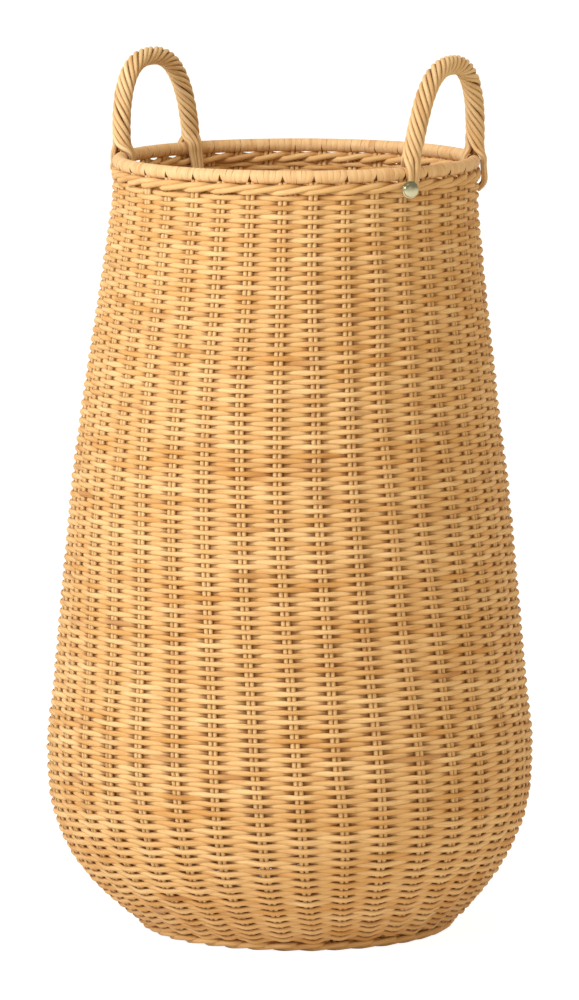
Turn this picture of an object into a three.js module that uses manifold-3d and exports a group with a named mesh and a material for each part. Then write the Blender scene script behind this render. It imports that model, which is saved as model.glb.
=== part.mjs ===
// A pear-shaped laundry basket woven from rattan rods, with a bound rim and two roped handles.
// Millimetres, +Z up. The origin is the middle of the foot's underside, on the floor.
// The first handle stands over +X, and the second nearly opposite it.

import * as THREE from 'three';
import { mergeVertices } from 'three/addons/utils/BufferGeometryUtils.js';
import Module from 'manifold-3d';

// Rods, and the clearance between pieces that touch
const clearance = 0.3;
const stakeRod = 4.0;
const weaverRod = 3.8;
const waleRod = 4.4;

// The wall's middle surface, from the foot wale up to the hoop
const footRadius = 130;
const bellyRadius = 204.8;
const neckRadius = 152.5;
const bellyHeight = 160;
const rimHeight = 665.7;
const stakePairs = 37;
const stakeLeanDegrees = 9;

// The base, which is woven thinner than the foot wale is tall and stays clear of the floor
const baseLift = 1.7;
const stakeReachInBase = 27;
const baseSticksInBundle = 6;
const baseStickLength = 180;
const baseEyeRadius = 20;

// The rim
const hoopRod = 8.0;
const caneThickness = 1.4;

// The handles: a thick bow with rods roped around it, whose ends straddle the rim.
// A handle's middle and its half span are counted in bays, the spaces from stake pair to stake pair.
const bowRod = 8.2;
const ropeRod = 4.1;
const archHeight = 87.5;
const archLeanOut = 5;
const archSquareness = 2.5;
const handles = [
  { name: 'right_handle', middleBay: 0, halfSpanBays: 2.5, heightShare: 1 },
  { name: 'left_handle', middleBay: 17.78, halfSpanBays: 2.17, heightShare: 0.975 },
];
const ropeEndAboveRim = 9;
const tailRods = 4;
const outerTailDrop = 18;
const innerTailDrop = 45;
const tailRootRise = 14;

// The domed brass stud, to which the outer loose ends of the first handle's front leg run askew
const studRadius = 7.35;
const studDome = 2.9;
const studLip = 1.2;
const studNail = 2.4;
const studBelowRim = 12.3;
const studBay = 2.97;
const studDomeShares = [0.25, 0.5, 0.75];

// Roundness of the turned pieces
const hoopSides = 8;
const bowSides = 6;
const ropeSides = 10;
const archSteps = 15;
const studSides = 16;

// What follows from the sizes above
const stakeWidth = 2 * stakeRod;
const wallHalf = stakeRod / 2 + weaverRod;
const waleHalf = stakeRod / 2 + waleRod;
const waleHeight = 2 * waleRod;
const bindingRadius = hoopRod / 2 + clearance + caneThickness;
const rimTop = rimHeight + bindingRadius;
const topWaleTop = rimHeight - bindingRadius - clearance;
const topWaleBottom = topWaleTop - waleHeight;
const weaveTop = topWaleBottom - clearance;
const weaveBottom = waleHeight + clearance;
const baseMiddle = baseLift + wallHalf;
const stickLevel = (stakeRod + clearance) / 2;
const stakeTop = rimHeight - hoopRod / 2 - clearance;
const tailWidth = tailRods * ropeRod;
const studHeight = rimHeight - studBelowRim;
const studNailLength = ropeRod + waleRod - clearance;
const stakeSpacing = (2 * Math.PI) / stakePairs;
const studAzimuth = -studBay * stakeSpacing;

// How far the flats of a ring with a corner at each stake pair lie inside its circle
const facetSag = neckRadius * (1 - Math.cos(stakeSpacing / 2));

// The outline below the belly: shares of the way out from foot to belly, and of the belly's height
const lowerOutlineShares = [
  [0.35, 0.2],
  [0.718, 0.42],
  [0.948, 0.68],
  [1, 1],
];

// The outline above the belly: shares of the way out from neck to belly, and of the way up to the wale
const upperOutlineShares = [
  [0.795, 0.224],
  [0.507, 0.53],
  [0.082, 0.876],
  [0, 1],
];

// Half the wall's thickness midway between two stakes, where the weavers cross from side to side
const waistShare = 0.62;

// Colours and finishes
const rattan = { roughness: 0.62, metalness: 0 };
const materials = {
  stake: new THREE.MeshStandardMaterial({ color: 0xe9c48c, ...rattan }),
  weave: new THREE.MeshStandardMaterial({ color: 0xd9a866, ...rattan }),
  wale: new THREE.MeshStandardMaterial({ color: 0xd2a05c, ...rattan }),
  base: new THREE.MeshStandardMaterial({ color: 0xcb9b5c, ...rattan }),
  hoop: new THREE.MeshStandardMaterial({ color: 0xc79a5e, ...rattan }),
  cane: new THREE.MeshStandardMaterial({ color: 0xe6bd82, roughness: 0.5, metalness: 0 }),
  rope: new THREE.MeshStandardMaterial({ color: 0xdcae6c, ...rattan }),
  brass: new THREE.MeshStandardMaterial({ color: 0xcdbd84, roughness: 0.3, metalness: 1 }),
};

const wasm = await Module();
wasm.setup();

// A closed solid for cutting and joining, from any closed geometry.
function toManifold(geometry) {
  const bare = geometry.clone();
  bare.deleteAttribute('normal');
  bare.deleteAttribute('uv');
  const merged = mergeVertices(bare);
  return new wasm.Manifold(new wasm.Mesh({
    numProp: 3,
    vertProperties: new Float32Array(merged.attributes.position.array),
    triVerts: new Uint32Array(merged.index.array),
  }));
}

// The geometry of a cut or joined solid.
function toGeometry(solid) {
  const mesh = solid.getMesh();
  const geometry = new THREE.BufferGeometry();
  geometry.setAttribute('position', new THREE.BufferAttribute(new Float32Array(mesh.vertProperties), 3));
  geometry.setIndex(new THREE.BufferAttribute(new Uint32Array(mesh.triVerts), 1));
  geometry.computeVertexNormals();
  return geometry;
}

// One geometry less a list of others.
function cutFrom(geometry, cutters) {
  const start = toManifold(geometry);
  return toGeometry(cutters.reduce((solid, cutter) => solid.subtract(toManifold(cutter)), start));
}

// One geometry joined with a list of others.
function joinTo(geometry, additions) {
  const start = toManifold(geometry);
  return toGeometry(additions.reduce((solid, addition) => solid.add(toManifold(addition)), start));
}

// A skin over rings of points: wrapped round to the first ring, or capped flat at both ends.
function skinOver(rings, wrapped) {
  const sides = rings[0].length;
  const joins = wrapped ? rings.length : rings.length - 1;
  const faces = [];
  for (let ring = 0; ring < joins; ring += 1) {
    const here = ring * sides;
    const there = ((ring + 1) % rings.length) * sides;
    for (let side = 0; side < sides; side += 1) {
      const beside = (side + 1) % sides;
      faces.push(here + side, here + beside, there + beside);
      faces.push(here + side, there + beside, there + side);
    }
  }
  if (!wrapped) {
    const end = (rings.length - 1) * sides;
    for (let side = 1; side < sides - 1; side += 1) {
      faces.push(0, side + 1, side);
      faces.push(end, end + side, end + side + 1);
    }
  }
  const geometry = new THREE.BufferGeometry();
  const positions = rings.flat().flatMap((point) => point.toArray());
  geometry.setAttribute('position', new THREE.Float32BufferAttribute(positions, 3));
  geometry.setIndex(faces);
  geometry.computeVertexNormals();
  return geometry;
}

// The point at a radius and height, turned round the axis, with an offset along the ring.
function pointAround(radius, height, azimuth, along) {
  const cosine = Math.cos(azimuth);
  const sine = Math.sin(azimuth);
  return new THREE.Vector3(radius * cosine - along * sine, radius * sine + along * cosine, height);
}

// How far round the stakes have turned at a height: they lean more and more towards the foot.
function leanAt(height) {
  const down = Math.max(0, 1 - Math.max(height, baseMiddle) / weaveTop);
  return THREE.MathUtils.degToRad(stakeLeanDegrees) * down * down;
}

// The middle of the wall as places of radius and height, from the foot to the hoop.
function wallPath() {
  const lower = lowerOutlineShares.map(([out, up]) => ({
    radius: footRadius + out * (bellyRadius - footRadius),
    height: up * bellyHeight,
  }));
  const upper = upperOutlineShares.map(([out, up]) => ({
    radius: neckRadius + out * (bellyRadius - neckRadius),
    height: bellyHeight + up * (weaveTop - bellyHeight),
  }));
  const foot = { radius: footRadius, height: baseMiddle };
  const hoop = { radius: neckRadius, height: stakeTop };
  return [foot, ...lower, ...upper, hoop];
}

// The part of a path between two heights, with its cut ends worked out.
function pathBetween(path, low, high) {
  const placeAt = (height) => {
    const after = Math.max(1, path.findIndex((place) => place.height >= height));
    const from = path[after - 1];
    const to = path[after];
    const share = (height - from.height) / (to.height - from.height);
    return { radius: from.radius + share * (to.radius - from.radius), height };
  };
  const between = path.filter((place) => place.height > low && place.height < high);
  return [placeAt(low), ...between, placeAt(high)];
}

// The way out of a path at each place, lengthened at corners so that the thickness stays the same.
function waysOut(path, levelEnds) {
  const runs = path.slice(1).map((place, index) => {
    const run = new THREE.Vector2(place.radius - path[index].radius, place.height - path[index].height);
    run.normalize();
    return new THREE.Vector2(run.y, -run.x);
  });
  return path.map((place, index) => {
    const before = runs[Math.max(0, index - 1)];
    const after = runs[Math.min(runs.length - 1, index)];
    const isEnd = index === 0 || index === path.length - 1;
    const out = isEnd && levelEnds ? new THREE.Vector2(1, 0) : before.clone().add(after).normalize();
    return out.divideScalar(out.dot(after));
  });
}

// A woven ring whose middle follows a path: thick over the stakes, thinner midway between them.
function wovenRing(path, half) {
  const ways = waysOut(path, true);
  const columns = 2 * stakePairs;
  const rings = Array.from({ length: columns }, (unused, column) => {
    const thick = column % 2 === 0 ? half : half * waistShare;
    const place = (index, side) => pointAround(
      path[index].radius + side * thick * ways[index].x,
      path[index].height + side * thick * ways[index].y,
      (column * stakeSpacing) / 2 + leanAt(path[index].height),
      0,
    );
    const outer = path.map((unusedPlace, index) => place(index, 1));
    const inner = path.map((unusedPlace, index) => place(index, -1)).reverse();
    return [...outer, ...inner].reverse();
  });
  return skinOver(rings, true);
}

// A flat section with pointed edges, as two or more round rods make side by side.
function rodsSection(width, thickness) {
  const edge = (width - thickness) / 2;
  const half = thickness / 2;
  return [[-width / 2, 0], [-edge, half], [edge, half], [width / 2, 0], [edge, -half], [-edge, -half]];
}

// A plain oblong section.
function oblongSection(width, thickness) {
  const across = width / 2;
  const half = thickness / 2;
  return [[-across, -half], [-across, half], [across, half], [across, -half]];
}

// A section swept along a path in the upright plane at an azimuth, which may change with height.
function sweepUpright(path, sectionAt, azimuthAt) {
  const ways = waysOut(path, false);
  const rings = path.map((place, index) => sectionAt(index).map(([along, out]) => pointAround(
    place.radius + out * ways[index].x,
    place.height + out * ways[index].y,
    azimuthAt(place.height),
    along,
  )));
  return skinOver(rings, false);
}

// The path of a stake pair: out through the base, up at the foot, and along the wall to the hoop.
function stakePath(overrun) {
  const inner = footRadius - waleHalf - stakeReachInBase;
  const [foot, ...wall] = wallPath();
  const top = wall.pop();
  const start = { radius: inner - overrun, height: baseMiddle };
  return [start, foot, ...wall, { radius: top.radius, height: top.height + overrun }];
}

// The azimuth of a stake pair at each height.
function stakeAzimuth(pair) {
  return (height) => pair * stakeSpacing + leanAt(height);
}

const pairNumbers = Array.from({ length: stakePairs }, (unused, index) => index);

// A stake pair: two rods side by side.
function stakePair(pair) {
  const section = rodsSection(stakeWidth, stakeRod);
  return sweepUpright(stakePath(0), () => section, stakeAzimuth(pair));
}

// The room that a stake pair takes in what is woven round it.
function stakeRoom(pair) {
  const section = oblongSection(stakeWidth + 2 * clearance, stakeRod + 2 * clearance);
  return sweepUpright(stakePath(clearance), () => section, stakeAzimuth(pair));
}

const stakeRooms = pairNumbers.map(stakeRoom);

// The side wall of over-and-under weaving, with a channel for each stake pair.
function wallWeave() {
  return cutFrom(wovenRing(pathBetween(wallPath(), weaveBottom, weaveTop), wallHalf), stakeRooms);
}

// The foot wale: a flat-bottomed ring that the basket stands on, notched where the stakes come up.
function footWale() {
  const path = [{ radius: footRadius, height: 0 }, { radius: footRadius, height: waleHeight }];
  return cutFrom(wovenRing(path, waleHalf), stakeRooms);
}

// How far each leg stands from the middle of its handle, as an angle round the basket.
function legAzimuth(handle) {
  return handle.halfSpanBays * stakeSpacing;
}

// The nail hole of the stud, for the pieces that the nail goes through.
function studHole() {
  const radius = studNail / 2 + clearance;
  const hole = new THREE.CylinderGeometry(radius, radius, 2 * studNailLength, studSides);
  hole.rotateZ(Math.PI / 2);
  hole.translate(neckRadius + waleHalf, 0, studHeight);
  hole.rotateZ(studAzimuth);
  return hole;
}

// The top wale under the rim, with channels for the stakes and the hole for the stud's nail.
function topWale() {
  const path = [
    { radius: neckRadius, height: topWaleBottom },
    { radius: neckRadius, height: topWaleTop },
  ];
  return cutFrom(wovenRing(path, waleHalf), [...stakeRooms, studHole()]);
}

// The outline across a row of touching rods, with a valley between each two.
function rodRowShape(count, rod) {
  const half = rod / 2;
  const valley = half / 2;
  const middles = Array.from({ length: count }, (unused, index) => (index - (count - 1) / 2) * rod);
  const under = middles.flatMap((middle) => [[middle - half, -valley], [middle, -half]]);
  const over = under.map(([across, up]) => [-across, -up]);
  const end = middles[count - 1] + half;
  const points = [...under, [end, -valley], ...over, [-end, valley]];
  return new THREE.Shape(points.map(([across, up]) => new THREE.Vector2(across, up)));
}

// A row of touching rods lying across the base.
function baseSticks() {
  const geometry = new THREE.ExtrudeGeometry(rodRowShape(baseSticksInBundle, stakeRod), {
    depth: baseStickLength,
    bevelEnabled: false,
  });
  geometry.translate(0, 0, -baseStickLength / 2);
  geometry.rotateX(Math.PI / 2);
  return geometry;
}

// The room that a bundle of base sticks takes in the base weave.
function baseStickRoom(turn, level) {
  const room = new THREE.BoxGeometry(
    baseSticksInBundle * stakeRod + 2 * clearance,
    baseStickLength + 2 * clearance,
    stakeRod + 2 * clearance,
  );
  room.rotateZ(turn);
  room.translate(0, 0, baseMiddle + level);
  return room;
}

// The woven base: a flat ring round the crossing sticks, with sockets for the stakes' lower ends.
function baseWeave() {
  const weaveFoot = pathBetween(wallPath(), weaveBottom, weaveTop);
  const [footWay] = waysOut(weaveFoot, true);
  const wallInside = weaveFoot[0].radius - wallHalf * footWay.x;
  const radius = Math.min(footRadius - waleHalf, wallInside) - clearance;
  const low = baseMiddle - wallHalf;
  const high = baseMiddle + wallHalf;
  const edge = weaverRod / 2;
  const profile = [
    new THREE.Vector2(baseEyeRadius, low),
    new THREE.Vector2(radius - edge, low),
    new THREE.Vector2(radius, low + edge),
    new THREE.Vector2(radius, high - edge),
    new THREE.Vector2(radius - edge, high),
    new THREE.Vector2(baseEyeRadius, high),
    new THREE.Vector2(baseEyeRadius, low),
  ];
  const ring = new THREE.LatheGeometry(profile, stakePairs);
  ring.rotateX(Math.PI / 2);
  const stickRooms = [baseStickRoom(0, -stickLevel), baseStickRoom(Math.PI / 2, stickLevel)];
  return cutFrom(ring, [...stakeRooms, ...stickRooms]);
}

// The rim's hoop: one thick rod bent to a ring.
function rimHoop() {
  const hoop = new THREE.TorusGeometry(neckRadius, hoopRod / 2, hoopSides, stakePairs);
  hoop.translate(0, 0, rimHeight);
  return hoop;
}

// The cane bound round the hoop, open below where the stakes' tops come up to it.
function rimBinding() {
  const slot = stakeRod / 2 + clearance;
  const arc = (radius) => {
    const from = -Math.PI / 2 + Math.asin(slot / radius);
    const turn = 2 * Math.PI - 2 * Math.asin(slot / radius);
    return Array.from({ length: hoopSides + 1 }, (unused, index) => {
      const angle = from + (turn * index) / hoopSides;
      return [radius * Math.cos(angle), radius * Math.sin(angle)];
    });
  };
  const inner = hoopRod / 2 + clearance;
  const flat = 1 / Math.cos(Math.PI / hoopSides);
  const section = [...arc(bindingRadius), ...arc(inner * flat).reverse()];
  const rings = pairNumbers.map((pair) => section.map(([out, up]) => (
    pointAround(neckRadius + out, rimHeight + up, pair * stakeSpacing, 0)
  )).reverse());
  return skinOver(rings, true);
}

// The middle line of a handle's arch, from leg to leg, clear of the rim by a given rise.
class ArchCurve extends THREE.Curve {
  constructor(handle, rise) {
    super();
    this.halfSpan = neckRadius * Math.sin(legAzimuth(handle));
    this.plane = neckRadius * Math.cos(legAzimuth(handle));
    this.height = archHeight * handle.heightShare;
    this.start = Math.asin(((bindingRadius + rise) / this.height) ** (archSquareness / 2));
  }

  getPoint(share, target = new THREE.Vector3()) {
    const angle = this.start + share * (Math.PI - 2 * this.start);
    const power = 2 / archSquareness;
    const along = Math.sign(Math.cos(angle)) * Math.abs(Math.cos(angle)) ** power;
    const up = Math.abs(Math.sin(angle)) ** power;
    return target.set(this.plane + archLeanOut * up, this.halfSpan * along, rimHeight + this.height * up);
  }
}

// A round rod of some radius bent along a handle's arch, from a given rise above the rim.
function archedRod(handle, radius, rise, sides) {
  const circle = new THREE.Shape();
  circle.absarc(0, 0, radius, 0, 2 * Math.PI);
  return new THREE.ExtrudeGeometry(circle, {
    steps: archSteps,
    curveSegments: sides / 2,
    bevelEnabled: false,
    extrudePath: new ArchCurve(handle, rise),
  });
}

// The bow inside a handle: its ends stand on the rim.
function handleBow(handle) {
  return archedRod(handle, bowRod / 2, clearance, bowSides);
}

// The loose ends of the roped rods on one side of the rim: side 1 is outside, side -1 is inside.
// On their way down to the hoop they may run askew, from the leg to another azimuth.
function ropeTail(handle, leg, side, drop, endAzimuth = leg * legAzimuth(handle)) {
  const half = ropeRod / 2;
  const root = bowRod / 2 + clearance + half;
  const parting = rimTop + ropeEndAboveRim;
  const places = [
    { off: root, height: parting + tailRootRise, width: tailWidth / 2 },
    { off: root + facetSag, height: parting, width: tailWidth - ropeRod },
    { off: bindingRadius + facetSag + clearance + half, height: rimHeight, width: tailWidth },
    { off: waleHalf + clearance + half, height: topWaleTop + clearance, width: tailWidth },
    { off: waleHalf + clearance + half, height: rimHeight - drop, width: tailWidth - ropeRod },
  ];
  const path = places.map(({ off, height }) => ({ radius: neckRadius + side * off, height })).reverse();
  const widths = places.map(({ width }) => width).reverse();
  const azimuthAt = (height) => THREE.MathUtils.mapLinear(
    THREE.MathUtils.clamp(height, rimHeight, parting),
    rimHeight,
    parting,
    endAzimuth,
    leg * legAzimuth(handle),
  );
  return sweepUpright(path, (index) => rodsSection(widths[index], ropeRod), azimuthAt);
}

// The rods roped round the bow, one solid with the loose ends that straddle the rim at each leg.
function handleRope(handle) {
  const hasStud = handle === handles[0];
  const rope = archedRod(handle, bowRod / 2 + ropeRod, ropeEndAboveRim, ropeSides);
  const tails = [
    ropeTail(handle, -1, 1, outerTailDrop, hasStud ? studAzimuth : undefined),
    ropeTail(handle, 1, 1, outerTailDrop),
    ropeTail(handle, -1, -1, innerTailDrop),
    ropeTail(handle, 1, -1, innerTailDrop),
  ];
  const bowRoom = archedRod(handle, bowRod / 2 + clearance, clearance, bowSides);
  return cutFrom(joinTo(rope, tails), hasStud ? [bowRoom, studHole()] : [bowRoom]);
}

// The brass stud: a nail with a lipped and domed head, driven through the outer tail and the wale.
function brassStud() {
  const lipInside = studRadius - studLip;
  const nail = studNail / 2;
  const dome = studDomeShares.map((share) => new THREE.Vector2(
    lipInside * Math.cos((share * Math.PI) / 2),
    studLip + (studDome - studLip) * Math.sin((share * Math.PI) / 2),
  ));
  const profile = [
    new THREE.Vector2(0, -studNailLength),
    new THREE.Vector2(nail, nail - studNailLength),
    new THREE.Vector2(nail, 0),
    new THREE.Vector2(studRadius - studLip / 2, 0),
    new THREE.Vector2(studRadius, studLip / 2),
    new THREE.Vector2(studRadius - studLip / 2, studLip),
    new THREE.Vector2(lipInside, studLip),
    ...dome,
    new THREE.Vector2(0, studDome),
  ];
  const stud = new THREE.LatheGeometry(profile, studSides);
  stud.rotateZ(-Math.PI / 2);
  stud.translate(neckRadius + waleHalf + 2 * clearance + ropeRod, 0, studHeight);
  stud.rotateZ(studAzimuth);
  return stud;
}

const basket = new THREE.Group();

// Puts one named piece in the basket.
function addPiece(name, geometry, material) {
  const mesh = new THREE.Mesh(geometry, material);
  mesh.name = name;
  basket.add(mesh);
  return mesh;
}

pairNumbers.forEach((pair) => {
  addPiece(`stake_pair_${String(pair + 1).padStart(2, '0')}`, stakePair(pair), materials.stake);
});
addPiece('wall_weave', wallWeave(), materials.weave);
addPiece('foot_wale', footWale(), materials.wale);
addPiece('top_wale', topWale(), materials.wale);
addPiece('base_weave', baseWeave(), materials.base);
addPiece('base_sticks_lower', baseSticks(), materials.stake).position.z = baseMiddle - stickLevel;
const upperSticks = addPiece('base_sticks_upper', baseSticks(), materials.stake);
upperSticks.position.z = baseMiddle + stickLevel;
upperSticks.rotation.z = Math.PI / 2;
addPiece('rim_hoop', rimHoop(), materials.hoop);
addPiece('rim_binding', rimBinding(), materials.cane);
handles.forEach((handle) => {
  const turn = handle.middleBay * stakeSpacing;
  addPiece(`${handle.name}_bow`, handleBow(handle), materials.hoop).rotation.z = turn;
  addPiece(`${handle.name}_rope`, handleRope(handle), materials.rope).rotation.z = turn;
});
addPiece('brass_stud', brassStud(), materials.brass);

export default basket;
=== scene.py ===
# %% [markdown]
# A tall laundry basket is woven of round rattan rods: pairs of upright stakes, a long weaver that
# goes over and under them row after row, heavier twisted rods at the foot and under the rim, a
# hoop bound with flat cane, and two handles of rods roped round a thick bow.
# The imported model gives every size. This script puts the real rods in its place.

# %% Load the frame
import math

import bpy
import numpy as np
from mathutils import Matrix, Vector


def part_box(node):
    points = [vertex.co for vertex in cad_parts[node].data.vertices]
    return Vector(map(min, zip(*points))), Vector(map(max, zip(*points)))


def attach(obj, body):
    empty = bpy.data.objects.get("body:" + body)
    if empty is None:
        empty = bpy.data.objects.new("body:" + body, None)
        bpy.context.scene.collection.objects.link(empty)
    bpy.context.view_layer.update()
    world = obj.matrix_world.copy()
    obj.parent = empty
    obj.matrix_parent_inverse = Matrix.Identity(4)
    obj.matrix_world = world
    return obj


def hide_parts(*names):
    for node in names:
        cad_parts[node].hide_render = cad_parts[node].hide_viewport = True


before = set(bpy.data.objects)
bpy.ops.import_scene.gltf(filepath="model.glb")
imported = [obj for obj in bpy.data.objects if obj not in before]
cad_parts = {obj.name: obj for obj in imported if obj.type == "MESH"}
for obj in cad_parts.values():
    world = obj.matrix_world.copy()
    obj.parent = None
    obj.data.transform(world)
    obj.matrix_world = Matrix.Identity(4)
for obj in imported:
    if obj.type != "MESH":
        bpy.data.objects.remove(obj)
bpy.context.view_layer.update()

# %% [markdown]
# The camera comes first, so that every later step can be looked at from the photograph's place.
# The photograph was taken from far away with a long lens, a little above the rim: the ellipse of
# the rim is flat and the sides of the basket hardly converge.

# %% Set the camera
mm = 0.001
view_azimuth = math.radians(25)
view_down = math.radians(7.642)
camera_distance = 7.0
camera_height = 1.3107
camera_aside = 2.5 * mm
lens_length = 294.2

bpy.ops.object.camera_add(
    location=(
        camera_distance * math.sin(view_azimuth) - camera_aside * math.cos(view_azimuth),
        -camera_distance * math.cos(view_azimuth) - camera_aside * math.sin(view_azimuth),
        camera_height,
    ),
    rotation=(math.pi / 2 - view_down, 0, view_azimuth),
)
camera = bpy.context.object
camera.data.lens = lens_length
bpy.context.scene.camera = camera
bpy.context.scene.view_settings.view_transform = "Standard"
print("camera", [round(value, 3) for value in camera.location])

# %% [markdown]
# Rods are all there is to see, so their sizes are named once. The places come from the frame: the
# hoop gives the rim's height and the neck's radius, the weave gives the belly and its two ends.

# %% Read the sizes
stake_rod = 4.0 * mm
weaver_rod = 3.8 * mm
wale_rod = 4.4 * mm
row_pitch = 3.93 * mm
gap = 0.3 * mm

weave_low, weave_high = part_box("wall_weave")
hoop_low, hoop_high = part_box("rim_hoop")
_, foot_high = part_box("foot_wale")
base_low, base_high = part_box("base_weave")

wall_half = stake_rod / 2 + weaver_rod
wale_half = stake_rod / 2 + wale_rod
hoop_rod = hoop_high.z - hoop_low.z
rim_height = (hoop_high.z + hoop_low.z) / 2
neck_radius = hoop_high.x - hoop_rod / 2
belly_radius = -weave_low.x - wall_half
foot_radius = foot_high.x - wale_half
base_middle = (base_low.z + base_high.z) / 2
stake_top = hoop_low.z - gap
stake_pairs = sum(name.startswith("stake_pair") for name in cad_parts)
spacing = math.tau / stake_pairs
print("rim", round(rim_height, 4), "neck", round(neck_radius, 4), "belly", round(belly_radius, 4),
      "foot", round(foot_radius, 4), "stake pairs", stake_pairs)

# %% [markdown]
# The wall's outline is a soft curve: out from the foot to a wide belly, then slowly in to a
# straight neck. A few places along it, as shares of the rim's height and the belly's radius, are
# enough. They are joined by straight lines and then smoothed with a running mean.

# %% Draw the wall's outline
outline_shares = [
    (0.0113, 0.647), (0.024, 0.694), (0.0376, 0.747), (0.0541, 0.797), (0.0721, 0.849),
    (0.0931, 0.897), (0.12, 0.945), (0.15, 0.981), (0.18, 1.002), (0.218, 1.01), (0.255, 1.009),
    (0.33, 0.98), (0.436, 0.949), (0.526, 0.922), (0.601, 0.897), (0.676, 0.865), (0.751, 0.833),
    (0.826, 0.8), (0.909, 0.766), (0.946, 0.752), (0.993, 0.75),
]
outline_step = 0.5 * mm
smoothing_length = 18 * mm


def running_mean(values, length, step):
    """Smooths values with a running mean that keeps both ends where they are."""
    half = int(length / step / 2)
    padded = np.pad(values, half, mode="reflect", reflect_type="odd")
    return np.convolve(padded, np.full(2 * half + 1, 1 / (2 * half + 1)), mode="valid")


outline_heights = np.arange(base_middle, stake_top + outline_step, outline_step)
outline_radii = running_mean(
    np.interp(
        outline_heights,
        [height * rim_height for height, radius in outline_shares],
        [radius * belly_radius for height, radius in outline_shares],
    ),
    smoothing_length,
    outline_step,
)
outline_arc = np.concatenate(
    [[0], np.cumsum(np.hypot(np.diff(outline_radii), np.diff(outline_heights)))]
)
print("outline length", round(outline_arc[-1], 4), "widest", round(outline_radii.max(), 4))


def wall_at(arc):
    """Radius and height of the wall along its outline, and its way out, in two parts."""
    radius = np.interp(arc, outline_arc, outline_radii)
    height = np.interp(arc, outline_arc, outline_heights)
    slope_radius = np.interp(arc, outline_arc, np.gradient(outline_radii, outline_arc))
    slope_height = np.interp(arc, outline_arc, np.gradient(outline_heights, outline_arc))
    return radius, height, slope_height, -slope_radius


# %% [markdown]
# No two stake pairs stand quite alike: they lean round the basket towards the foot, and a maker
# pushes each a little to one side. They also stand a little closer on one side of the basket than
# on the other. All this is one function of the pair and the height, so that the stakes and what
# is woven round them agree. Random numbers come from one seeded source.

# %% Say where each stake pair stands
chance = np.random.default_rng(11)
lean_angle = math.radians(9)
twist_angle = math.radians(-1.2)
twist_share = 0.7
sway_angle = math.radians(0.45)
spread_angle = math.radians(1.5)
sway_levels = 8
tiny = 0.001
sways = chance.normal(0, sway_angle, (sway_levels, stake_pairs))


def soft_step(share):
    """A smooth step from 0 to 1."""
    share = np.clip(share, 0, 1)
    return share * share * (3 - 2 * share)


def pair_azimuth(pair, height):
    """How far round a stake pair stands at a height. The pair may be a fraction, between two."""
    pair = np.asarray(pair, float)
    height = np.asarray(height, float)
    down = np.clip(1 - np.maximum(height, base_middle) / weave_high.z, 0, 1)
    lean = lean_angle * down**2
    settle = twist_angle * soft_step((1 - down - twist_share / 2) / (1 - twist_share))
    level = np.clip(height / rim_height, 0, 1) * (sway_levels - 1 - tiny)
    floor = np.floor(level).astype(int)
    blend = soft_step(level - floor)
    below = np.floor(pair).astype(int)
    share = soft_step(pair - below)
    here = below % stake_pairs
    there = (below + 1) % stake_pairs
    low = sways[floor, here] * (1 - share) + sways[floor, there] * share
    high = sways[floor + 1, here] * (1 - share) + sways[floor + 1, there] * share
    middle = view_azimuth - math.pi / 2
    spread = spread_angle * np.sin(pair * spacing - middle)
    return pair * spacing + lean + settle + spread + low * (1 - blend) + high * blend


print("first pair at", round(math.degrees(float(pair_azimuth(0, rim_height))), 2), "degrees")

# %% [markdown]
# Every rod is skinned the same way. Rings of points are laid square to its path and joined by
# quads, with both ends closed. A bevelled curve would give the same tube, but this way each point
# also keeps where it would be if the rod were straight. Wood grain follows a rod however it
# bends, so the grain is later painted in those straight coordinates, with no seam and no stretch.
# Each point also keeps a tone, which differs from rod to rod, and a shade, which is painted
# shade: high where rods lie against each other, along their flanks, and where a weaver is tucked
# behind a stake, and weaker on a rod's inner side.

# %% Make rods
smooth_angle = math.radians(60)
# Painted shade of crevices: dark on a rod's flanks and where it is tucked behind a stake, weaker on
# its inner side.
flank_power = 1.6
flank_share = 0.7
inner_side = -0.1
inner_share = 0.2
tuck_power = 1.6
grain_shift = 7


def deselect_all():
    """Leaves nothing selected, so that an operator acts on the new piece alone."""
    bpy.ops.object.select_all(action="DESELECT")


def unit(vectors):
    """Vectors made one long."""
    return vectors / np.linalg.norm(vectors, axis=-1, keepdims=True)


def rod(path, out, radius, tone, wide=1.0, flat=1.0, tucked=0.0):
    """A rod: its path, the way out along it, its radius, its tone, how wide and how flat it is
    pressed, and how far it is tucked behind the stakes, from 1 inside the wall to -1 outside."""
    made = {"path": np.asarray(path, float), "flat": flat}
    made["out"] = np.broadcast_to(np.asarray(out, float), made["path"].shape)
    along = {"radius": radius, "tone": tone, "wide": wide, "tucked": tucked}
    for label, value in along.items():
        made[label] = np.broadcast_to(np.asarray(value, float), (len(path),))
    return made


# %% Skin rods as one piece
def mark(mesh, name, kind, values):
    """Stores a number or a vector for each point of a mesh, for its material to read."""
    part = "vector" if kind == "FLOAT_VECTOR" else "value"
    mesh.attributes.new(name, kind, "POINT").data.foreach_set(part, np.ravel(values))


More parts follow.
